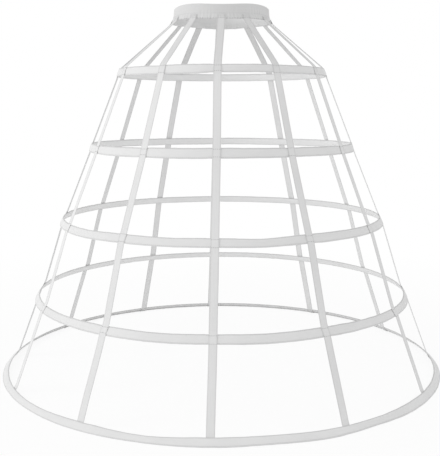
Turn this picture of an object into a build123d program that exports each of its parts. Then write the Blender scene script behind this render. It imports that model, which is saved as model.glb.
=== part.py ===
from build123d import *
import os
from math import atan, cos, degrees, pi, radians, sin

# Crinoline cage: a gathered cloth waistband over a ring of elastic, twelve hanging cloth tapes, and five
# round hoops. Each hoop is a flat spring steel, its ends butted in a crimped ferrule, inside a flat cloth
# casing. The tapes are lapped onto the waistband's gathered edge, pass over the outside of the four upper
# casings and end behind the lowest one, the hem hoop.
# The rings are made with flat sides, few enough to be light and placed so that each tape lies flat on one.
# Lengths are in millimetres and angles in degrees. The origin is on the floor under the centre of the
# cage, +Z is up, and the front is towards -Y.

# Waistband
waist_radius = 105.5
waistband_height = 32.0
waistband_top = 834.0
waistband_cloth = 1.2

# Elastic inside the top of the waistband
elastic_width = 16.0
elastic_thickness = 1.2
elastic_clearance = 0.3

# Gathered edge under the elastic: its height, how far it flares, how far its gathers stand out at the
# elastic, and how deep they are at the edge
gather_count = 84
gather_depth = 1.8
gather_start = 0.9
frill_height = 12.0
frill_flare = 6.4

# Hoops, from the top one to the hem, each at the middle of its casing: radius, height above the floor, and
# how far the casing leans outwards from the vertical
hoop_1_radius = 239.5
hoop_1_height = 690.0
hoop_1_lean = 18.0
hoop_2_radius = 306.0
hoop_2_height = 521.0
hoop_2_lean = 19.0
hoop_3_radius = 375.5
hoop_3_height = 353.0
hoop_3_lean = 28.0
hoop_4_radius = 435.5
hoop_4_height = 179.0
hoop_4_lean = 34.0
hem_radius = 512.5
hem_lean = 50.0

# Spring steel, with its joint in the middle of one flat side, counted from the front tape
steel_width = 10.0
steel_thickness = 0.6
steel_end_gap = 1.0
joint_side = 28

# Ferrule crimped over the steel's ends
ferrule_length = 24.0
ferrule_wall = 0.4
ferrule_clearance = 0.1

# Casing: two layers of cloth with a stitched margin above and below the steel's channel
casing_cloth = 0.7
casing_margin = 3.9
channel_clearance = 0.2

# Tapes: the front one is turned a little from the front, and the back one is sewn a few flat sides on
tape_count = 12
tape_width = 19.0
tape_thickness = 1.0
tape_clearance = 0.3
tape_turn = -2.0
back_tape_sides = 1
waist_lap = 9.0
hem_end_setback = 2.0

# Flat sides of every ring, from one tape to the next
sides_per_tape = 5
side_count = tape_count * sides_per_tape
side_angle = 360 / side_count

# The sleeve holds the steel, the channel holds the sleeve, and the casing is folded round the channel
sleeve_thickness = steel_thickness + 2 * (ferrule_clearance + ferrule_wall)
sleeve_width = steel_width + 2 * (ferrule_clearance + ferrule_wall)
channel_thickness = sleeve_thickness + 2 * channel_clearance
channel_width = sleeve_width + 2 * channel_clearance
casing_thickness = channel_thickness + 2 * casing_cloth
casing_width = channel_width + 2 * casing_margin

# The band is folded round the elastic, and its gathered edge flares out under it
elastic_inner = waist_radius + waistband_cloth + elastic_clearance
elastic_outer = elastic_inner + elastic_thickness
band_outer = elastic_outer + elastic_clearance + waistband_cloth
band_bottom = waistband_top - waistband_height
frill_top = band_bottom + frill_height
frill_outer = band_outer + frill_flare
elastic_top = waistband_top - waistband_cloth - elastic_clearance
elastic_bottom = elastic_top - elastic_width


class Hoop:
    """Where one hoop's flat strips lie, in the plane through the cage's axis."""

    def __init__(self, name, radius, height, lean):
        self.name = name
        self.radius = radius
        self.height = height
        self.lean = radians(lean)

    def point(self, outwards, upwards):
        """The radius and height of a point that far out from the strips' middle and up along their face."""
        return (
            self.radius + outwards / cos(self.lean) - upwards * sin(self.lean),
            self.height + upwards * cos(self.lean),
        )

    def ring(self, thickness, width):
        """A flat strip of cloth or steel that goes all the way round the hoop."""
        outside = flared(self.point(thickness / 2, -width / 2), self.point(thickness / 2, width / 2))
        inside = flared(self.point(-thickness / 2, -width / 2), self.point(-thickness / 2, width / 2))
        return outside - inside

    def block(self, length):
        """A block round the hoop's joint, to cut that length out of a ring."""
        reach = 2 * casing_width
        side = Pos(self.radius, 0, self.height) * Box(reach, length, reach)
        return turned(side, tape_turn + side_angle * joint_side)


hem_height = casing_width / 2 * cos(radians(hem_lean))
hoops = [
    Hoop("1", hoop_1_radius, hoop_1_height, hoop_1_lean),
    Hoop("2", hoop_2_radius, hoop_2_height, hoop_2_lean),
    Hoop("3", hoop_3_radius, hoop_3_height, hoop_3_lean),
    Hoop("4", hoop_4_radius, hoop_4_height, hoop_4_lean),
    Hoop("hem", hem_radius, hem_height, hem_lean),
]


def turned(part, azimuth):
    """Turns what was made over +X to its azimuth from the front, where +90 is over +X."""
    return part.rotate(Axis.Z, azimuth - 90)


def outline(corners, height):
    """A flat face at one height, from the azimuths and radii of its corners."""
    return make_face(
        Polyline(
            [(r * sin(radians(azimuth)), -r * cos(radians(azimuth)), height) for azimuth, r in corners],
            close=True,
        )
    )


def flared(low, high):
    """A flat-sided block round the axis, between the radius and height of its two ends."""
    (low_radius, low_height), (high_radius, high_height) = low, high
    corner = low_radius / cos(pi / side_count)
    corners = [(tape_turn + side_angle * (side + 0.5), corner) for side in range(side_count)]
    rise = high_height - low_height
    taper = degrees(atan((low_radius - high_radius) / rise))
    return extrude(outline(corners, low_height), rise, dir=(0, 0, 1), taper=taper)


def gathered(radius, depth, height):
    """An outline that stands out to the radius at each gather, and in by the depth between them."""
    step = 180 / gather_count
    return outline([(step * n, radius - depth * (n % 2)) for n in range(2 * gather_count)], height)


def waistband():
    """Cloth folded over the elastic, with a flared and gathered edge under it."""
    share = (band_outer + gather_start) / frill_outer
    frill = loft(
        [
            gathered(frill_outer, gather_depth, band_bottom),
            gathered(frill_outer * share, gather_depth * share, frill_top),
        ],
        ruled=True,
    )
    band = flared((band_outer, frill_top), (band_outer, waistband_top))
    bore = Pos(0, 0, frill_top) * Cylinder(
        waist_radius, waistband_top - frill_top, align=(Align.CENTER, Align.CENTER, Align.MIN)
    )
    under_frill = flared(
        (frill_outer - gather_depth - waistband_cloth, band_bottom), (waist_radius, frill_top)
    )
    channel = elastic_ring(elastic_clearance)
    return frill + band - under_frill - bore - channel


def elastic_ring(room):
    """The elastic, or its channel if there is room round it."""
    low, high = elastic_bottom - room, elastic_top + room
    outer, inner = elastic_outer + room, elastic_inner - room
    return flared((outer, low), (outer, high)) - flared((inner, low), (inner, high))


def hoop_casing(hoop):
    """A flat tube of cloth, hollow for the steel and its ferrule."""
    return hoop.ring(casing_thickness, casing_width) - hoop.ring(channel_thickness, channel_width)


def hoop_steel(hoop):
    """A flat spring steel, bent round until its two ends nearly meet."""
    return hoop.ring(steel_thickness, steel_width) - hoop.block(steel_end_gap)


def hoop_ferrule(hoop):
    """A sheet-metal sleeve pressed flat over the steel's two ends."""
    bore_thickness = steel_thickness + 2 * ferrule_clearance
    bore_width = steel_width + 2 * ferrule_clearance
    sleeve = hoop.ring(sleeve_thickness, sleeve_width) - hoop.ring(bore_thickness, bore_width)
    return sleeve & hoop.block(ferrule_length)


def tape_face(lift):
    """One face of a tape, lifted that far off what the tape is sewn to: radii and heights, going down."""
    lap_radius = frill_outer + (band_outer + gather_start - frill_outer) * waist_lap / frill_height
    route = [(lap_radius + lift, band_bottom + waist_lap), (frill_outer + lift, band_bottom)]
    half_thickness, half_width = casing_thickness / 2, casing_width / 2
    for hoop in hoops[:-1]:
        route.append(hoop.point(half_thickness + lift, half_width))
        route.append(hoop.point(half_thickness + lift, -half_width))
    behind = lift - (half_thickness + 2 * tape_clearance + tape_thickness)
    route.append(hoops[-1].point(behind, half_width))
    route.append(hoops[-1].point(behind, hem_end_setback - half_width))
    return route


def tape():
    """One tape over +X, continuous from the waistband to its end behind the hem casing."""
    near = tape_face(tape_clearance)
    far = tape_face(tape_clearance + tape_thickness)
    side = make_face(Polyline([(radius, 0, height) for radius, height in near + far[::-1]], close=True))
    return extrude(side, tape_width / 2, both=True)


def tape_azimuths():
    """Even steps round the cage, apart from the tape at the back."""
    azimuths = [tape_turn + side_angle * sides_per_tape * number for number in range(tape_count)]
    azimuths[tape_count // 2] += side_angle * back_tape_sides
    return azimuths


if __name__ == "__main__":
    os.makedirs("parts", exist_ok=True)
    export_step(waistband(), "parts/waistband.step")
    export_step(elastic_ring(0), "parts/waist_elastic.step")
    for hoop in hoops:
        export_step(hoop_casing(hoop), f"parts/hoop_casing_{hoop.name}.step")
        export_step(hoop_steel(hoop), f"parts/hoop_steel_{hoop.name}.step")
        export_step(hoop_ferrule(hoop), f"parts/hoop_ferrule_{hoop.name}.step")
    for number, azimuth in enumerate(tape_azimuths(), 1):
        export_step(turned(tape(), azimuth), f"parts/tape_{number:02d}.step")
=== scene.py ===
"""A white cage crinoline: five cloth-cased hoops, hung on twelve tapes from a gathered waistband."""
from functools import cache
from math import acos, atan2, cos, degrees, exp, hypot, pi, radians, sin

import bmesh
import bpy
from mathutils import Matrix, Vector, noise

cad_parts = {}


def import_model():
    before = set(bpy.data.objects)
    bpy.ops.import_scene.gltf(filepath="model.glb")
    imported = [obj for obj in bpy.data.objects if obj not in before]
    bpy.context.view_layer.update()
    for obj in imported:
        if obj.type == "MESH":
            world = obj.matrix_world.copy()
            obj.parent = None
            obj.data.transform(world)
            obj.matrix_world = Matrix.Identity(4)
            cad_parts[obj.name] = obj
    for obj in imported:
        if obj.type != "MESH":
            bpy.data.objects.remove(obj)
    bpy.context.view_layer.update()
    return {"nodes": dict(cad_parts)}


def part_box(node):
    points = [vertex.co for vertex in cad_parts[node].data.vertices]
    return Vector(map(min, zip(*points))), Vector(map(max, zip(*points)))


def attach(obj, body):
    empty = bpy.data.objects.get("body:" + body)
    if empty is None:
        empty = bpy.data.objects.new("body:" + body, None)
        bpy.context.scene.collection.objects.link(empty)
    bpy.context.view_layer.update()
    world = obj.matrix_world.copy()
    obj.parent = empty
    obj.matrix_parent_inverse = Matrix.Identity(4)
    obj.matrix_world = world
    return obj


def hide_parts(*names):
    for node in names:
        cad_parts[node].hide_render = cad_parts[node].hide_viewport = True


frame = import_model()

MM = 0.001

# Flat sides of the frame's rings, the side where the steels' ends meet, and the first tape's turn from
# the front
side_angle = radians(6)
joint_side = 28
tape_turn = radians(-2)
tape_count = 12
back_tape = 6

# Casing: its width and thickness over the steel, where its two seams run, and how far out their stitches lie
casing_width = 19.2 * MM
casing_thickness = 3.4 * MM
seam_from_middle = 7.6 * MM
seam_rise = 0.85 * MM
ring_step = 3.0 * MM

# How far a casing stands out over its ferrule, and how far along the ring
ferrule_swell = 0.45 * MM
ferrule_reach = 13 * MM

# How a casing is drawn in under a tape, how far it strays, and how its edges and its face are uneven
pull_in = 0.05
pull_reach = 16 * MM
stray_up = 0.35 * MM
stray_out = 0.3 * MM
edge_fray = 0.25 * MM
edge_ripple = 0.16 * MM
ripple_length = 9 * MM
wrinkle_depth = 0.16 * MM
wrinkle_length = 26 * MM
wrinkle_width = 2.4 * MM

# Tapes: their width as they hang, drawn narrower by the pull
tape_hung_width = 16.8 * MM
tape_half_thickness = 0.34 * MM
tape_lap = 9.0 * MM
tape_step = 4.0 * MM
tape_stray = 0.25 * MM
tape_twist = radians(2)
tape_below_edge = 0.3 * MM
herringbone_width = 3.2 * MM
rib_spacing = 2.8 * MM

# How far a tape's near face is kept off the line that it follows
touch = 0.28 * MM

# Waistband
waist_radius = 105.5 * MM
waist_cloth_thickness = 1.2 * MM
elastic_room = 0.3 * MM
frill_height = 12.0 * MM
frill_flare = 6.4 * MM
frill_start = 1.8 * MM
gather_count = 84
gather_depth = 1.8 * MM
crease_depth = 0.65 * MM
edge_sway = 0.4 * MM
flat_under_tape = 12 * MM
steps_per_gather = 12

# How far the waistband stands up between the front, the sides and the back, and how much more at its top,
# in millimetres
waist_rise = 2.2
waist_rise_at_top = 1.4

# A ring is made as one sector, and then repeated
sectors = 12

# The cage's cloth is kept this far off the floor
floor_gap = 0.05 * MM

# Stitches
stitch_pitch = 4.2 * MM
stitch_length = 3.0 * MM
stitch_width = 0.55 * MM
stitch_height = 0.4 * MM
edge_stitch_pitch = 5.8 * MM
edge_stitch_length = 3.4 * MM
edge_stitch_width = 1.1 * MM
cross_stitch_pitch = 3.9 * MM
cross_stitch_width = 0.9 * MM
cross_stitch_rise = 0.12 * MM

# How far above the waistband's lower edge the tapes are sewn to it
waist_seams = (7 * MM, 2.5 * MM)

# How each casing lies off its plain ring across the front, by azimuth in degrees: how far up, in
# millimetres, and how wide. It sags between the tapes, and is drawn narrower where the steel pulls it tight.
casing_lies = {
    "1": [(-45, -1.2, 1.0), (-15, -1.4, 1.1), (0, 0.3, 0.94), (15, 0.6, 0.93), (45, 0, 1)],
    "2": [(-45, -1.4, 1.08), (-15, -1.2, 1.17), (-2, 0, 1.19), (15, -0.3, 1.1), (45, -0.3, 1.04)],
    "3": [(-50, -2.8, 0.98), (-32, -1.6, 1.06), (-17, -1.9, 1), (-2, -0.7, 1.05), (12, -2.7, 0.95),
          (28, 0.4, 1.07), (50, 0, 1.03)],
    "4": [(-52, -2.5, 0.95), (-32, -2.2, 1.08), (-18, -2.8, 1.04), (-2, -1.2, 1.08), (12, -2.2, 1.09),
          (28, -0.6, 1.12), (45, -1.2, 1.02), (66, -2.2, 0.94)],
    "hem": [(-50, -1.9, 0.8), (-32, -0.8, 1.05), (-17, -1.8, 0.8), (-2, 0.9, 1.08), (10, 2.4, 0.98),
            (24, 0, 1), (35, 1.4, 0.86), (50, 0, 1.06)],
}

# From this azimuth on, in degrees and to either side, a casing lies as its plain ring does
plain_from = 85

# How far each tape lies to one side of its place, in millimetres, at the waistband and at each hoop
tape_drifts = {
    1: (3.4, 0.5, 1, 0.5, -0.8, -2.7),
    2: (0, 0, -3, -2.8, -3, 0),
    3: (0, 2, -1.5, -2.5, -2, 1),
    5: (0, 4, 3, 3, 3, 0),
    6: (0, 2.5, 2.5, 2.5, 2.5, 1),
    7: (-3, -4.8, -5, -4.6, -3.6, -1.5),
    8: (0, -4.5, -1.5, -2, -3.5, -2),
    9: (0, -3.5, -4, -3.5, -3.5, -1),
    12: (-0.5, 5, 5, 2.6, 2, -5.5),
}

# Camera: its place, how far it looks down, and its lens on a 36 mm sensor
camera_place = (0, -1.8599, 0.605)
camera_pitch = radians(8.567)
camera_lens = 61.67
camera_shift = -0.0033

# Where the tapes hang: even steps round the cage, apart from the one at the back, sewn one flat side on
tape_azimuths = [tape_turn + 2 * pi * number / tape_count for number in range(tape_count)]
tape_azimuths[back_tape] += side_angle


def off_tape(azimuth):
    """The angle to the nearest tape."""
    return min(abs((azimuth - a + pi) % (2 * pi) - pi) for a in tape_azimuths)


def spread(x):
    """A smooth bump: 1 at 0, and nearly 0 from 2 on."""
    return exp(-x * x)


def wander(azimuth, turns, seed):
    """Smooth noise round a ring, which meets itself: about that many swings from -1 to 1."""
    reach = turns / pi
    return 1.6 * noise.noise(Vector((reach * cos(azimuth), reach * sin(azimuth), seed)))


def eased(places, x):
    """The values that are listed by place, blended smoothly from each place to the next."""
    if x <= places[0][0]:
        return places[0][1:]
    for (before, *start), (after, *end) in zip(places, places[1:]):
        if x <= after:
            share = (x - before) / (after - before)
            share *= share * (3 - 2 * share)
            return [a + share * (b - a) for a, b in zip(start, end)]
    return places[-1][1:]


class Hoop:
    """One hoop's strips, in the plane through the cage's axis, from its casing's place in the frame."""

    def __init__(self, number, name):
        low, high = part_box(f"hoop_casing_{name}")
        self.name = name
        self.number = number
        self.lean = acos((high.z - low.z) / casing_width)
        self.height = (low.z + high.z) / 2
        # The frame's ring has flat sides: the cloth's is round, midway between their middles and corners
        corner = (high.x - low.x) / 2 / cos(side_angle / 2 + tape_turn)
        outside = corner * (1 + cos(side_angle / 2)) / 2
        self.radius = outside - casing_thickness / 2 / cos(self.lean) - casing_width / 2 * sin(self.lean)

    def point(self, outwards, upwards):
        """The radius and height of a point that far out from the casing's middle and up along its face."""
        return (
            self.radius + outwards * cos(self.lean) - upwards * sin(self.lean),
            self.height + outwards * sin(self.lean) + upwards * cos(self.lean),
        )

    def across(self, radius, height):
        """How far out from the casing's middle and how far up along its face a radius and height are."""
        out, up = radius - self.radius, height - self.height
        return out * cos(self.lean) + up * sin(self.lean), up * cos(self.lean) - out * sin(self.lean)

    @cache
    def lie(self, azimuth):
        """How the casing lies there: how near a tape is, its place and width, and its small ripples."""
        places = [(-plain_from, 0, 1), *casing_lies[self.name], (plain_from, 0, 1)]
        up, width = eased(places, degrees(azimuth))
        return (
            spread(off_tape(azimuth) * self.radius / pull_reach),
            up * MM + stray_up * wander(azimuth, 9, self.number),
            width,
            stray_out * wander(azimuth, 7, self.number + 3),
            edge_fray * wander(azimuth, 90, self.number + 0.5),
            edge_ripple * wander(azimuth, self.radius * pi / ripple_length, self.number + 7.1),
        )

    def worn(self, azimuth, outwards, upwards):
        """Where a point of the casing's cloth lies: pulled in at the tapes, and slightly uneven between."""
        at_tape, up, width, out, frayed, ripple = self.lie(round(azimuth, 5))
        edge = min(1, abs(upwards) / (casing_width / 2))
        upwards *= width * (1 - pull_in * at_tape)
        upwards += up + edge * frayed
        wrinkle = noise.noise(Vector((
            self.radius * cos(azimuth) / wrinkle_length,
            self.radius * sin(azimuth) / wrinkle_length,
            upwards / wrinkle_width + 11 * self.number,
        )))
        outwards += out + edge * ripple + wrinkle_depth * wrinkle
        return self.point(outwards, upwards)


hoops = [Hoop(number, name) for number, name in enumerate(("1", "2", "3", "4", "hem"))]
hem = hoops[-1]


# Mesh tools

def placed(azimuth, radius, height):
    """A point from its azimuth from the front, where a quarter turn is over +X."""
    return Vector((radius * sin(azimuth), -radius * cos(azimuth), height))


def azimuth_of(point):
    """A point's azimuth from the front."""
    return atan2(point.x, -point.y)


def turned_copies(bm, angle, copies):
    """Repeats what is in the bmesh, evenly over that angle round the cage's axis."""
    bmesh.ops.spin(
        bm, geom=bm.verts[:] + bm.edges[:] + bm.faces[:], cent=(0, 0, 0), axis=(0, 0, 1), dvec=(0, 0, 0),
        angle=angle * (copies - 1) / copies, steps=copies - 1,
        use_merge=False, use_normal_flip=False, use_duplicate=True,
    )


def spun(outline, steps, hollow=False):
    """A closed outline of radii and heights, spun round the cage's axis. A hollow faces its inside."""
    bm = bmesh.new()
    corners = [bm.verts.new((radius, 0, height)) for radius, height in outline]
    sides = [bm.edges.new(pair) for pair in zip(corners, corners[1:] + corners[:1])]
    bmesh.ops.spin(
        bm, geom=corners + sides, cent=(0, 0, 0), axis=(0, 0, 1), dvec=(0, 0, 0), angle=2 * pi / sectors,
        steps=round(steps / sectors), use_merge=False, use_normal_flip=False, use_duplicate=False,
    )
    turned_copies(bm, 2 * pi, sectors)
    bmesh.ops.remove_doubles(bm, verts=bm.verts[:], dist=0.01 * MM)
    bmesh.ops.recalc_face_normals(bm, faces=bm.faces[:])
    if hollow:
        bmesh.ops.reverse_faces(bm, faces=bm.faces[:])
    return bm


def joined(*parts):
    """Several bmeshes as one, with their own freed."""
    whole = bmesh.new()
    for part in parts:
        mesh = bpy.data.meshes.new("part")
        part.to_mesh(mesh)
        part.free()
        whole.from_mesh(mesh)
        bpy.data.meshes.remove(mesh)
    return whole


def mirrored(face, edge=None):
    """A closed outline from a quarter of it, in millimetres, with one point at its edge if it has one."""
    top = [(out * MM, up * MM) for up, out in face]
    if edge:
        top.append((0, edge * MM))
    back = [(-out * MM, up * MM) for up, out in reversed(face)]
    upper = top + back
    return upper + [(-out, -up) for out, up in upper if up]


def ring_uvs(bm, radius, across):
    """Metres along the ring and across its cloth, for patterns that follow the cloth."""
    layer = bm.loops.layers.uv.new("Cloth")
    for face in bm.faces:
        middle = azimuth_of(face.calc_center_median())
        for loop in face.loops:
            turn = azimuth_of(loop.vert.co) - middle
            along = middle + (turn + pi) % (2 * pi) - pi
            loop[layer].uv = (along * radius, across(loop.vert.co))


def in_scene(name, bm, material):
    """Makes a bmesh an object of the scene, with its material."""
    mesh = bpy.data.meshes.new(name)
    bm.to_mesh(mesh)
    bm.free()
    mesh.materials.append(material)
    made = bpy.data.objects.new(name, mesh)
    bpy.context.scene.collection.objects.link(made)
    return made


def piece(name, bm, material, slot, *nodes):
    """Makes a bmesh a smooth piece of the cage, which stands for those nodes of the frame."""
    made = in_scene(name, bm, material)
    made.data.polygons.foreach_set("use_smooth", [True] * len(made.data.polygons))
    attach(made, "root")
    if nodes:
        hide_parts(*nodes)
    return made


def stitch(bm, matrix, length=stitch_length, width=stitch_width):
    """One stitch, a fine spindle along its own X."""
    size = Matrix.Diagonal((length / 2, width / 2, stitch_height / 2, 1))
    bmesh.ops.create_icosphere(bm, subdivisions=1, radius=1, matrix=matrix @ size)


def seam_row(radius, height, lean, pitch=stitch_pitch, **size):
    """A row of stitches round the cage, on a face that leans back that far from the vertical."""
    bm = bmesh.new()
    along_y = Matrix.Rotation(pi / 2, 4, "Z")
    tilt = Matrix.Rotation(pi / 2 - lean, 4, "Y")
    stitch(bm, Matrix.Translation((radius, 0, height)) @ tilt @ along_y, **size)
    turned_copies(bm, 2 * pi / sectors, round(2 * pi * radius / pitch / sectors))
    turned_copies(bm, 2 * pi, sectors)
    return bm


# Materials

def new_material(name):
    """A material, with its nodes and its surface shader."""
    material = bpy.data.materials.new(name)
    material.use_nodes = True
    tree = material.node_tree
    return material, tree, tree.nodes["Principled BSDF"]


def added(tree, kind, settings=None, **sockets):
    """A node with its settings and sockets set: a socket is linked if its value is another's output."""
    made = tree.nodes.new("ShaderNode" + kind)
    for key, value in (settings or {}).items():
        setattr(made, key, value)
    for key, value in sockets.items():
        numbered = key[0] == "i" and key[1:].isdigit()
        socket = made.inputs[int(key[1:]) if numbered else key.replace("_", " ")]
        if isinstance(value, bpy.types.NodeSocket):
            tree.links.new(value, socket)
        else:
            socket.default_value = value
    return made


def maths(tree, operation, a, b=0.0, c=0.0):
    """A sum on numbers or on other nodes' outputs."""
    return added(tree, "Math", {"operation": operation}, i0=a, i1=b, i2=c).outputs[0]


def smooth(tree, value, start, end):
    """Rises smoothly from 0 at the start to 1 at the end."""
    settings = {"interpolation_type": "SMOOTHSTEP"}
    return added(tree, "MapRange", settings, Value=value, From_Min=start, From_Max=end).outputs[0]


def waves(tree, value, length, operation="SINE"):
    """Goes from -1 to 1 and back over each length."""
    return maths(tree, operation, maths(tree, "MULTIPLY", value, 2 * pi / length))


def speckle(tree, **sockets):
    """Noise between 0 and 1."""
    return added(tree, "TexNoise", None, **sockets).outputs["Fac"]


def bumped(tree, height, distance, strength, before=None):
    """A normal that follows a height, on top of another if it is given."""
    sockets = {"Height": height, "Distance": distance, "Strength": strength}
    if before is not None:
        sockets["Normal"] = before
    return added(tree, "Bump", None, **sockets).outputs["Normal"]


def between(tree, share, dark, light):
    """A colour from the dark one to the light one."""
    colour = added(tree, "Mix", {"data_type": "RGBA"}, Factor=share)
    colour.inputs[6].default_value = (*dark, 1)
    colour.inputs[7].default_value = (*light, 1)
    return colour.outputs[2]


def object_place(tree):
    """A point's place in Object coordinates."""
    return added(tree, "TexCoord").outputs["Object"]


def faces_in(tree, place):
    """1 where a surface faces the cage's axis, and 0 where it faces away."""
    flat = added(tree, "VectorMath", {"operation": "MULTIPLY"}, i0=place, i1=(1, 1, 0)).outputs["Vector"]
    normal = added(tree, "NewGeometry").outputs["Normal"]
    facing = added(tree, "VectorMath", {"operation": "DOT_PRODUCT"}, i0=flat, i1=normal).outputs["Value"]
    return maths(tree, "LESS_THAN", facing, 0.0)


def plain_weave(tree, along, across, pitch):
    """Yarns that cross at their pitch."""
    return maths(tree, "MULTIPLY", waves(tree, along, pitch), waves(tree, across, pitch))


def herringbone(tree, along, across, pitch):
    """Yarns that slope one way and then the other across a tape."""
    slope = maths(tree, "PINGPONG", across, herringbone_width)
    return waves(tree, maths(tree, "ADD", along, slope), pitch)


def tape_shade(tree, across, place):
    """Fine lengthwise ribs, and painted shade: the tape is darker above the top hoop."""
    height = added(tree, "SeparateXYZ", None, Vector=place).outputs["Z"]
    painted_shade_above_top_hoop = smooth(tree, height, 0.66, 0.73)
    shade = maths(tree, "MULTIPLY_ADD", painted_shade_above_top_hoop, -0.11, 1.0)
    return maths(tree, "MULTIPLY_ADD", waves(tree, across, rib_spacing, "COSINE"), 0.018, shade)


def cloth(name, tone, weave, pitch, half_width, seam, top_edge_shade_strength=0.0, inside=0.0):
    """White cotton: yarns at their pitch, soft wrinkles with painted shade in their hollows, painted shade
    along the edges and at the seam, and painted light, by the inside strength, on faces towards the cage's
    axis.
    """
    material, tree, shader = new_material(name)
    shader.inputs["Roughness"].default_value = 0.92
    shader.inputs["Specular IOR Level"].default_value = 0.2
    shader.inputs["Sheen Weight"].default_value = 0.12
    shader.inputs["Sheen Roughness"].default_value = 0.6
    uv = added(tree, "SeparateXYZ", None, Vector=added(tree, "UVMap", {"uv_map": "Cloth"}).outputs["UV"])
    along, across = uv.outputs["X"], uv.outputs["Y"]
    place = object_place(tree)
    yarns = weave(tree, along, across, pitch)
    shade = tape_shade(tree, across, place) if weave is herringbone else 1.0
    # Wrinkles run along the cloth, so their noise is stretched that way
    lengthwise, crosswise = maths(tree, "MULTIPLY", along, 28.0), maths(tree, "MULTIPLY", across, 420.0)
    stretched = added(tree, "CombineXYZ", None, X=lengthwise, Y=crosswise).outputs[0]
    wrinkles = speckle(tree, Vector=stretched, Scale=1.0, Detail=3.0, Roughness=0.55)
    clouds = speckle(tree, Vector=place, Scale=14.0, Detail=4.0)
    flecks = speckle(tree, Vector=place, Scale=900.0, Detail=2.0)
    from_middle = maths(tree, "ABSOLUTE", across)
    from_seam = maths(tree, "ABSOLUTE", maths(tree, "SUBTRACT", from_middle, seam))
    # Painted shade: the cloth is darker along both edges, and darker still along its top edge by that
    # strength
    painted_edge_shade = smooth(tree, from_middle, half_width - 1.6 * MM, half_width)
    painted_top_edge_shade = smooth(tree, across, half_width - 2.6 * MM, half_width - 0.5 * MM)
    # Painted shade in the seam's groove
    painted_seam_shade = smooth(tree, from_seam, 0.9 * MM, 0.1 * MM)
    # How much lighter each pattern makes the cloth. The wrinkles' noise is also their bump, so its share is
    # painted shade in their hollows. The three noises lie about a half, so their mean is taken off again
    noises = [(clouds, 0.08), (flecks, 0.05), (wrinkles, 0.05)]
    lines = [(yarns, 0.012), (painted_edge_shade, -0.16), (painted_top_edge_shade, -top_edge_shade_strength), (painted_seam_shade, -0.10)]
    # The inside strength is painted light on the faces towards the cage's axis
    for pattern, strength in [(faces_in(tree, place), inside)] + noises + lines:
        shade = maths(tree, "MULTIPLY_ADD", pattern, strength, shade)
    shade = maths(tree, "SUBTRACT", shade, sum(strength for _, strength in noises) / 2)
    colour = added(tree, "Mix", {"data_type": "RGBA", "blend_type": "MULTIPLY"}, Factor=1.0)
    colour.inputs[6].default_value = (tone, tone, tone, 1)
    tree.links.new(shade, colour.inputs[7])
    tree.links.new(colour.outputs[2], shader.inputs["Base Color"])
    normal = bumped(tree, yarns, 0.08 * MM, 0.5)
    normal = bumped(tree, wrinkles, 0.5 * MM, 0.45, normal)
    tree.links.new(normal, shader.inputs["Normal"])
    return material


def thread(name, tone):
    """Twisted sewing thread."""
    material, tree, shader = new_material(name)
    shader.inputs["Roughness"].default_value = 0.7
    shader.inputs["Sheen Weight"].default_value = 0.2
    twist = speckle(tree, Vector=object_place(tree), Scale=1600.0, Detail=2.0)
    colour = between(tree, twist, (0.8 * tone,) * 3, (1.05 * tone,) * 3)
    tree.links.new(colour, shader.inputs["Base Color"])
    tree.links.new(bumped(tree, twist, 0.1 * MM, 0.6), shader.inputs["Normal"])
    return material


def metal(name, tone, roughness, scale):
    """Rolled steel with fine marks."""
    material, tree, shader = new_material(name)
    shader.inputs["Metallic"].default_value = 1.0
    marks = speckle(tree, Vector=object_place(tree), Scale=scale, Detail=4.0)
    colour = between(tree, marks, [0.85 * x for x in tone], tone)
    tree.links.new(colour, shader.inputs["Base Color"])
    tree.links.new(maths(tree, "MULTIPLY_ADD", marks, 0.15, roughness - 0.07), shader.inputs["Roughness"])
    tree.links.new(bumped(tree, marks, 0.05 * MM, 0.3), shader.inputs["Normal"])
    return material


def woven_elastic():
    """Elastic with ribs round the ring."""
    material, tree, shader = new_material("woven elastic")
    shader.inputs["Roughness"].default_value = 0.8
    height = added(tree, "SeparateXYZ", None, Vector=object_place(tree)).outputs["Z"]
    ribs = waves(tree, height, 1.1 * MM)
    colour = between(tree, maths(tree, "MULTIPLY_ADD", ribs, 0.5, 0.5), (0.6, 0.6, 0.58), (0.76, 0.76, 0.73))
    tree.links.new(colour, shader.inputs["Base Color"])
    tree.links.new(bumped(tree, ribs, 0.2 * MM, 0.7), shader.inputs["Normal"])
    return material


def dressed(node, material):
    """Gives a piece of the frame its own material."""
    slots = frame["nodes"][node].data.materials
    slots.clear()
    slots.append(material)


cotton_tone = 0.80
waist_tone = 0.70
yarn_pitch = 0.7 * MM
tape_yarn_pitch = 1.1 * MM
tape_seam = 6.6 * MM

# The waistband's edge and seam are made in its mesh, so its cloth has no painted shade at either: both lie a
# metre off it
off_the_cloth = 1.0

# The casings get painted shade along their top edge and painted light on their faces towards the cage's axis
casing_cloth = cloth(
    "casing cotton", cotton_tone, plain_weave, yarn_pitch, casing_width / 2, seam_from_middle,
    top_edge_shade_strength=0.14, inside=0.06,
)
tape_cloth = cloth("woven tape", cotton_tone, herringbone, tape_yarn_pitch, tape_hung_width / 2, tape_seam)
waist_cloth = cloth("waistband cotton", waist_tone, plain_weave, yarn_pitch, off_the_cloth, off_the_cloth)
sewing_thread = thread("sewing thread", 0.6)
strong_thread = thread("strong thread", 0.42)
spring_steel = metal("spring steel", (0.55, 0.56, 0.58), 0.3, 300.0)
ferrule_metal = metal("plated ferrule", (0.7, 0.69, 0.66), 0.25, 180.0)


# Hoops

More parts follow.
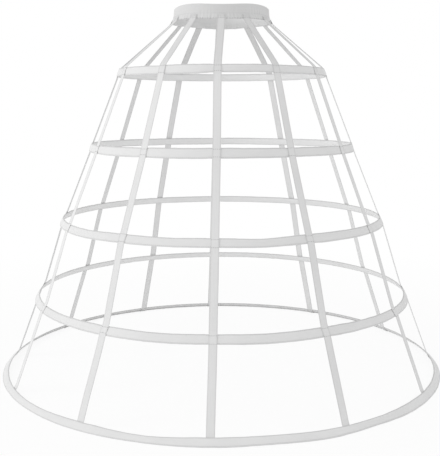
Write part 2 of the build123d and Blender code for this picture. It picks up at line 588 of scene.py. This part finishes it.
# Half of the casing's outline: how far up from its middle, and how far its face stands out there
casing_face = [
    (0, 1.7), (3.4, 1.68), (5.6, 1.54), (6.8, 1.2), (7.6, 0.78), (8.3, 0.95), (9.0, 0.8), (9.4, 0.5),
]
casing_edge = 9.6
channel_face = [(6.0, 1.0), (6.9, 0.5)]


def ferrule_bulge(hoop, azimuth):
    """The cloth stands out a little over the ferrule."""
    joint = tape_turn + side_angle * joint_side
    from_joint = (azimuth - joint + pi) % (2 * pi) - pi
    return ferrule_swell * spread(from_joint * hoop.radius / ferrule_reach)


def settle(hoop, bm):
    """Moves a straight ring's cloth and stitches to where they lie when worn."""
    for vert in bm.verts:
        azimuth = azimuth_of(vert.co)
        outwards, upwards = hoop.across(hypot(vert.co.x, vert.co.y), vert.co.z)
        if abs(upwards) < seam_from_middle:
            outwards += ferrule_bulge(hoop, azimuth) * (1 if outwards > 0 else -1)
        radius, height = hoop.worn(azimuth, outwards, upwards)
        vert.co = placed(azimuth, radius, max(height, floor_gap))


def casing(hoop):
    """A flat tube of cloth, stitched above and below the steel."""
    steps = round(2 * pi * hoop.radius / ring_step)
    outside = spun([hoop.point(*at) for at in mirrored(casing_face, casing_edge)], steps)
    channel = spun([hoop.point(*at) for at in mirrored(channel_face)], steps, hollow=True)
    bm = joined(outside, channel)
    ring_uvs(bm, hoop.radius, lambda co: hoop.across(hypot(co.x, co.y), co.z)[1])
    settle(hoop, bm)
    made = piece(f"casing_{hoop.name}_cloth", bm, casing_cloth, "casing_cloth", f"hoop_casing_{hoop.name}")


def casing_stitching(hoop):
    """Four rows: above and below the steel, on the outside and on the inside."""
    rows = []
    for side in (1, -1):
        for up in (1, -1):
            at = hoop.point(side * seam_rise, up * seam_from_middle)
            rows.append(seam_row(*at, hoop.lean))
    bm = joined(*rows)
    settle(hoop, bm)
    piece(f"casing_{hoop.name}_stitching", bm, sewing_thread, "casing_cloth")


for hoop in hoops:
    casing(hoop)
    casing_stitching(hoop)
    dressed(f"hoop_steel_{hoop.name}", spring_steel)
    dressed(f"hoop_ferrule_{hoop.name}", ferrule_metal)


# Tapes

# Half of the tape's outline: how far from its middle, and half its thickness there
tape_face = [(0, 0.32), (2.8, 0.34), (5.6, 0.34), (6.6, 0.24), (7.4, 0.38), (8.1, 0.28)]

# The line that a tape follows over a casing and behind the hem's, in millimetres: how far out from the
# casing's middle, and how far up along its face
over_casing = [(1.2, 10.0), (1.75, 5.6), (1.75, -5.6), (1.2, -10.0)]
behind_hem = [(-1.4, 10.0), (-1.95, 5.6), (-1.95, -5.6), (-1.6, -7.6)]

waist_low, waist_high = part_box("waistband")
waist_bottom, waist_top = waist_low.z, waist_high.z
frill_outer = (waist_high.x - waist_low.x) / 2
frill_top = waist_bottom + frill_height
band_outer = frill_outer - frill_flare
frill_lean = atan2(frill_flare - frill_start, frill_height)


def frill_radius(height):
    """The radius to which the frill's gathers stand out at that height."""
    return frill_outer - (frill_flare - frill_start) * (height - waist_bottom) / frill_height


def waist_lift(azimuth, height):
    """How far the waistband stands up between the front, the sides and the back, mostly at its top."""
    share = min(1, max(0, (height - frill_top) / (waist_top - frill_top)))
    return (waist_rise + waist_rise_at_top * share) * MM * (1 - cos(4 * azimuth)) / 2


def tape_route(azimuth):
    """The radii and heights of a tape's middle, going down from the waistband to behind the hem."""
    off = tape_half_thickness + touch
    route = []
    for height in (waist_bottom + tape_lap, waist_bottom - tape_below_edge):
        route.append((frill_radius(height) + off, height + waist_lift(azimuth, height)))
    for hoop in hoops[:-1]:
        for outwards, upwards in over_casing:
            route.append(hoop.worn(azimuth, outwards * MM + off, upwards * MM))
    for outwards, upwards in behind_hem:
        route.append(hem.worn(azimuth, outwards * MM - off, upwards * MM))
    return route


def tape_drift(number, height):
    """How far a tape lies to one side there."""
    levels = [waist_bottom] + [hoop.height for hoop in hoops]
    drifts = sorted(zip(levels, tape_drifts.get(number, (0,) * len(levels))))
    return eased(drifts, height)[0] * MM


def evened(route, step):
    """The route at even steps, with its corners rounded off."""
    runs = list(zip(route, route[1:]))
    lengths = [hypot(b[0] - a[0], b[1] - a[1]) for a, b in runs]
    count = round(sum(lengths) / step)
    points = []
    for number in range(count + 1):
        left = sum(lengths) * number / count
        for (a, b), length in zip(runs, lengths):
            if left <= length or (a, b) == runs[-1]:
                share = min(1, left / length)
                points.append((a[0] + share * (b[0] - a[0]), a[1] + share * (b[1] - a[1])))
                break
            left -= length
    for _ in range(3):
        inner = [
            ((a[0] + 2 * b[0] + c[0]) / 4, (a[1] + 2 * b[1] + c[1]) / 4)
            for a, b, c in zip(points, points[1:], points[2:])
        ]
        points = points[:1] + inner + points[-1:]
    return points


def tape_path(number, azimuth):
    """The places down a tape, each with how far down it is: X is outwards, Y is across and Z is down."""
    points = evened(tape_route(azimuth), tape_step)
    to_azimuth = Matrix.Rotation(azimuth - pi / 2, 4, "Z")
    places = []
    distance = 0
    for index, (radius, height) in enumerate(points):
        before, after = points[max(index - 1, 0)], points[min(index + 1, len(points) - 1)]
        if index:
            distance += hypot(radius - before[0], height - before[1])
        down = Vector((after[0] - before[0], 0, after[1] - before[1])).normalized()
        outward = Vector((-down.z, 0, down.x))
        stray = tape_stray * noise.noise(Vector((distance * 9, number * 3.7, 0.2)))
        twist = tape_twist * noise.noise(Vector((distance * 7, number * 5.1, 4.2)))
        middle = Matrix.Translation((radius, tape_drift(number, height) + stray, height))
        axes = Matrix((outward, (0, 1, 0), down)).transposed().to_4x4()
        places.append((to_azimuth @ (middle @ Matrix.Rotation(twist, 4, down) @ axes), distance))
    return places


def swept(outline, places):
    """A closed outline drawn down its places, and filled at its ends. Each point knows how far down it is."""
    bm = bmesh.new()
    along = bm.verts.layers.float.new("along")
    first = places[0][0]
    corners = [bm.verts.new(first @ Vector((out, half, 0))) for out, half in outline]
    ring = [bm.edges.new(pair) for pair in zip(corners, corners[1:] + corners[:1])]
    bmesh.ops.edgeloop_fill(bm, edges=ring)
    for (before, _), (after, distance) in zip(places, places[1:]):
        made = bmesh.ops.extrude_edge_only(bm, edges=ring)["geom"]
        moved = [part for part in made if isinstance(part, bmesh.types.BMVert)]
        ring = [part for part in made if isinstance(part, bmesh.types.BMEdge)]
        bmesh.ops.transform(bm, matrix=after @ before.inverted(), verts=moved)
        for vert in moved:
            vert[along] = distance
    bmesh.ops.edgeloop_fill(bm, edges=ring)
    bmesh.ops.recalc_face_normals(bm, faces=bm.faces[:])
    return bm


def tape_uvs(bm, number, azimuth):
    """Metres down the tape and across it."""
    along = bm.verts.layers.float["along"]
    sideways = Vector((cos(azimuth), sin(azimuth), 0))
    layer = bm.loops.layers.uv.new("Cloth")
    for face in bm.faces:
        for loop in face.loops:
            across = loop.vert.co.dot(sideways) - tape_drift(number, loop.vert.co.z)
            loop[layer].uv = (loop.vert[along], across)


def tape(number, azimuth):
    """A woven tape, from the waistband to behind the hem. Returns the places down it."""
    places = tape_path(number, azimuth)
    bm = swept(mirrored(tape_face, tape_hung_width / 2 / MM), places)
    tape_uvs(bm, number, azimuth)
    for vert in bm.verts:
        vert.co.z = max(vert.co.z, floor_gap)
    made = piece(f"tape_{number:02d}_cloth", bm, tape_cloth, "tape_cloth", f"tape_{number:02d}")
    return [at for at, _ in places]


def cross_seam(bm, at, side):
    """Four stitches in a row across a tape, on its outer or its inner face."""
    across = Matrix.Rotation(pi / 2, 4, "Z")
    flat = Matrix.Rotation(pi / 2, 4, "Y")
    rise = tape_half_thickness + cross_stitch_rise
    for step in (-1.5, -0.5, 0.5, 1.5):
        spot = Matrix.Translation((side * rise, step * cross_stitch_pitch, 0))
        stitch(bm, at @ spot @ flat @ across, width=cross_stitch_width)


def sewn_heights(azimuth):
    """The heights at which a tape is sewn down, each with the face that shows it: 1 outer, -1 inner."""
    seams = [(waist_bottom + up + waist_lift(azimuth, waist_bottom), 1) for up in waist_seams]
    for hoop in hoops:
        # The tape ends level with the hem's lower seam, so both rows there are nearer the hem's middle
        side, reach = (-1, 0.8 * seam_from_middle) if hoop is hem else (1, seam_from_middle)
        seams += [(hoop.worn(azimuth, 0, up * reach)[1], side) for up in (1, -1)]
    return seams


def tapes():
    """The tapes, each sewn to the waistband and to every casing."""
    bm = bmesh.new()
    for number, azimuth in enumerate(tape_azimuths, 1):
        places = tape(number, azimuth)
        for height, side in sewn_heights(azimuth):
            cross_seam(bm, min(places, key=lambda at: abs(at.translation.z - height)), side)
    piece("tape_stitching", bm, strong_thread, "tape_cloth")


# Waistband

def gathered(azimuth, radius, height, outside):
    """Where a point of the waistband lies: its outer face is gathered, but flat under each tape."""
    drop = (frill_top - height) / frill_height
    frill = min(1, max(0, drop))
    body = (1 - frill) * max(0, 1 - max(0, -drop) / 1.8)
    phase = gather_count * azimuth + 1.1 * wander(azimuth, 30, 5.5)
    wave = 0.5 * cos(phase) + 0.12 * cos(2 * phase + 1.3 * wander(azimuth, 40, 8.5)) - 0.5
    depth = (0.95 * gather_depth * frill + crease_depth * body) * (0.75 + 0.35 * wander(azimuth, 22, 2.5))
    if outside:
        radius += depth * wave * (1 - 0.9 * spread((off_tape(azimuth) * frill_outer / flat_under_tape) ** 2))
    height += waist_lift(azimuth, height) + edge_sway * frill * wander(azimuth, 60, 3.3)
    return placed(azimuth, radius, height)


def waistband_outline():
    """The band's section: up the outside of the frill and band, over the fold, and down the inside."""
    fold = (band_outer - waist_radius) / 2
    band_height = waist_top - fold - frill_top
    under = frill_outer - gather_depth - waist_cloth_thickness
    outline = []
    for share in (0, 0.12, 0.3, 0.5, 0.7, 0.85, 1):
        height = waist_bottom + frill_height * share
        outline.append((frill_radius(height), height))
    for share in (0.06, 0.15, 0.35, 0.6, 0.85):
        outline.append((band_outer + frill_start * (1 - share) ** 2, frill_top + band_height * share))
    for turn in range(7):
        angle = pi * turn / 6
        outline.append((waist_radius + fold + fold * cos(angle), waist_top - fold + fold * sin(angle)))
    for share in (0.8, 0.5, 0.2, 0):
        outline.append((waist_radius, frill_top + band_height * share))
    for share in (0.8, 0.5, 0.2, 0.05):
        outline.append((under + (waist_radius - under) * share, waist_bottom + frill_height * share))
    return outline


def elastic_channel():
    """The section of the room round the elastic, with its corners cut off."""
    elastic_low, elastic_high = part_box("waist_elastic")
    low, high = elastic_low.z - elastic_room, elastic_high.z + elastic_room
    inner, outer = waist_radius + waist_cloth_thickness, band_outer - waist_cloth_thickness
    in_by, down_by = 0.4 * MM, 1 * MM
    return [
        (outer, low + down_by), (outer, high - down_by), (outer - in_by, high), (inner + in_by, high),
        (inner, high - down_by), (inner, low + down_by), (inner + in_by, low), (outer - in_by, low),
    ]


def waistband():
    """Cloth folded over the elastic, with a flared and gathered edge under it."""
    steps = gather_count * steps_per_gather
    bm = joined(spun(waistband_outline(), steps), spun(elastic_channel(), steps, hollow=True))
    ring_uvs(bm, frill_outer, lambda co: co.z - waist_bottom)
    for vert in bm.verts:
        radius = hypot(vert.co.x, vert.co.y)
        outside = radius > waist_radius + waist_cloth_thickness
        vert.co = gathered(azimuth_of(vert.co), radius, vert.co.z, outside)
    made = piece("waistband_cloth", bm, waist_cloth, "waistband_cloth", "waistband")


def waistband_stitching():
    """A row that gathers the lower edge, and one that closes the cloth under the elastic."""
    low, high = waist_bottom + 1.5 * MM, frill_top + 0.4 * MM
    edge_row = seam_row(
        frill_radius(low) + 0.25 * MM, low, frill_lean,
        pitch=edge_stitch_pitch, length=edge_stitch_length, width=edge_stitch_width,
    )
    closing_row = seam_row(frill_radius(frill_top) + 0.1 * MM, high, frill_lean / 2)
    rows = [
        ("waistband_edge_stitching", edge_row, strong_thread),
        ("waistband_stitching", closing_row, sewing_thread),
    ]
    for name, bm, material in rows:
        for vert in bm.verts:
            vert.co = gathered(azimuth_of(vert.co), hypot(vert.co.x, vert.co.y), vert.co.z, True)
        piece(name, bm, material, "waistband_cloth")


waistband()
waistband_stitching()
dressed("waist_elastic", woven_elastic())
tapes()


# Floor, lights and camera

def white_to_camera(tree, surface, lit, output, share=1.0):
    """What the camera and reflections see is white, by that share, and what lights the object stays lit."""
    path = added(tree, "LightPath")
    seen = maths(tree, "MAXIMUM", path.outputs["Is Camera Ray"], path.outputs["Is Glossy Ray"])
    seen = maths(tree, "MAXIMUM", seen, path.outputs["Is Transmission Ray"])
    mixed = added(tree, "MixShader", None, i0=maths(tree, "MULTIPLY", seen, share), i1=lit, i2=surface)
    tree.links.new(mixed.outputs[0], output.inputs["Surface"])


def floor():
    """A pale floor that keeps a little of the cage's shadow, and fades to white round it."""
    material = bpy.data.materials.new("floor")
    material.use_nodes = True
    tree = material.node_tree
    tree.nodes.clear()
    output = tree.nodes.new("ShaderNodeOutputMaterial")
    white = added(tree, "Emission", None, Color=(1, 1, 1, 1), Strength=1.0).outputs[0]
    lit = added(tree, "BsdfDiffuse", None, Color=(0.9, 0.9, 0.9, 1)).outputs[0]
    away = added(tree, "VectorMath", {"operation": "LENGTH"}, i0=object_place(tree)).outputs["Value"]
    fade = {"From_Min": 0.6, "From_Max": 1.6, "To_Min": 0.88, "To_Max": 1.0}
    share = added(tree, "MapRange", None, Value=away, **fade).outputs[0]
    white_to_camera(tree, white, lit, output, share)
    bm = bmesh.new()
    bmesh.ops.create_grid(bm, x_segments=1, y_segments=1, size=30)
    in_scene("floor", bm, material)


def world():
    """Even light from all round, which the camera sees as white."""
    made = bpy.data.worlds.new("studio")
    bpy.context.scene.world = made
    made.use_nodes = True
    tree = made.node_tree
    tree.nodes.clear()
    output = tree.nodes.new("ShaderNodeOutputWorld")
    white = added(tree, "Background", None, Color=(1, 1, 1, 1), Strength=1.0).outputs[0]
    soft = added(tree, "Background", None, Color=(1, 1, 1, 1), Strength=0.85).outputs[0]
    white_to_camera(tree, white, soft, output)


def lamp(name, place, target, size, power):
    """A round lamp that points at its target."""
    data = bpy.data.lights.new(name, "AREA")
    data.shape = "DISK"
    data.size = size
    data.energy = power
    made = bpy.data.objects.new(name, data)
    made.location = place
    made.rotation_euler = (Vector(target) - Vector(place)).to_track_quat("-Z", "Y").to_euler()
    bpy.context.scene.collection.objects.link(made)


def camera():
    """The camera, at the photograph's viewing angle."""
    data = bpy.data.cameras.new("camera")
    data.sensor_width = 36
    data.lens = camera_lens
    data.shift_x = camera_shift
    data.clip_end = 100
    made = bpy.data.objects.new("camera", data)
    made.location = camera_place
    made.rotation_euler = (pi / 2 - camera_pitch, 0, 0)
    bpy.context.scene.collection.objects.link(made)
    bpy.context.scene.camera = made


floor()
world()
lamp("key", place=(-4.0, -1.0, 2.1), target=(0, 0, 0.4), size=1.8, power=41)
camera()
bpy.context.scene.view_settings.view_transform = "Standard"
